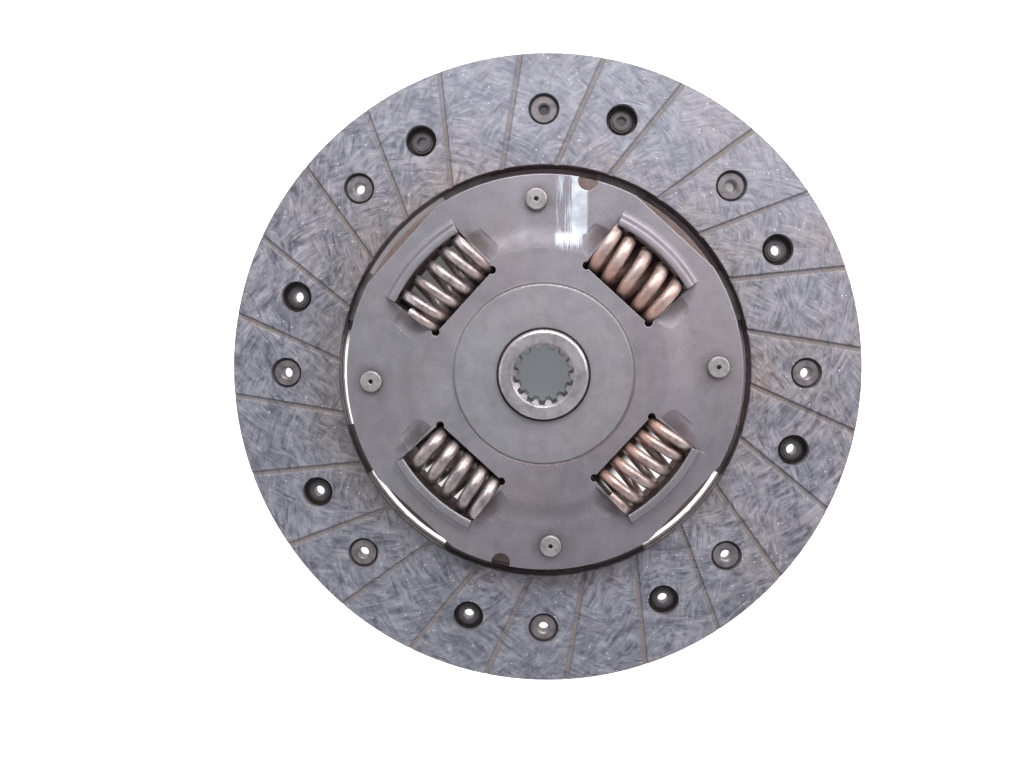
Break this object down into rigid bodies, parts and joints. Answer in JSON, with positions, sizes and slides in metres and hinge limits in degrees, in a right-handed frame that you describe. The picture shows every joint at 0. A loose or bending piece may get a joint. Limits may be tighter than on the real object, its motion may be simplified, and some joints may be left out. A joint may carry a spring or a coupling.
{
  "type": "clutch disc",
  "caption": "Dry friction clutch disc: two grooved, riveted ring facings on a sprung cushion, and a coil-spring torsion damper round a splined hub.",
  "frame": {"origin": "on the disc axis, in the plane of the flywheel-side friction face", "axes": "+Z along the axis to the gearbox side; +X and +Y lie in the friction face, +Y up in the plan view"},
  "size_m": [0.216, 0.216, 0.0218],
  "materials": {
    "facing": "matte",
    "facing_rivets": "satin",
    "plate_rivets": "satin",
    "cushion_steel": "satin",
    "plates": "satin",
    "pins": "satin",
    "spring_wire": "satin",
    "hub_steel": "satin",
    "bright_steel": "satin",
    "friction_plastic": "matte"
  },
  "bodies": {
    "disc": {"front_facing": "facing", "rear_facing": "facing", "front_facing_rivets": "facing_rivets", "rear_facing_rivets": "facing_rivets", "cushion_segment_1": "cushion_steel", "cushion_segment_2": "cushion_steel", "cushion_segment_3": "cushion_steel", "cushion_segment_4": "cushion_steel", "cushion_segment_5": "cushion_steel", "cushion_segment_6": "cushion_steel", "cushion_segment_7": "cushion_steel", "cushion_segment_8": "cushion_steel", "segment_rivets": "plate_rivets", "cover_plate": "plates", "drive_plate": "plates", "stop_pins": "pins", "damper_spring_1": "spring_wire", "damper_spring_2": "spring_wire", "damper_spring_3": "spring_wire", "damper_spring_4": "spring_wire", "front_friction_ring": "friction_plastic", "support_ring": "bright_steel", "friction_spring": "bright_steel", "rear_friction_ring": "friction_plastic", "centring_bush": "friction_plastic"},
    "hub": {"hub": "hub_steel", "hub_flange": "plates"}
  },
  "joints": [
    {"name": "damper_twist", "type": "hinge", "parent": "disc", "child": "hub", "pos_m": [0, 0, 0], "axis": [0, 0, 1], "range_deg": [-6, 6], "stiffness_Nm_per_rad": 1500, "deforming": ["damper_spring_1", "damper_spring_2", "damper_spring_3", "damper_spring_4"]}
  ]
}
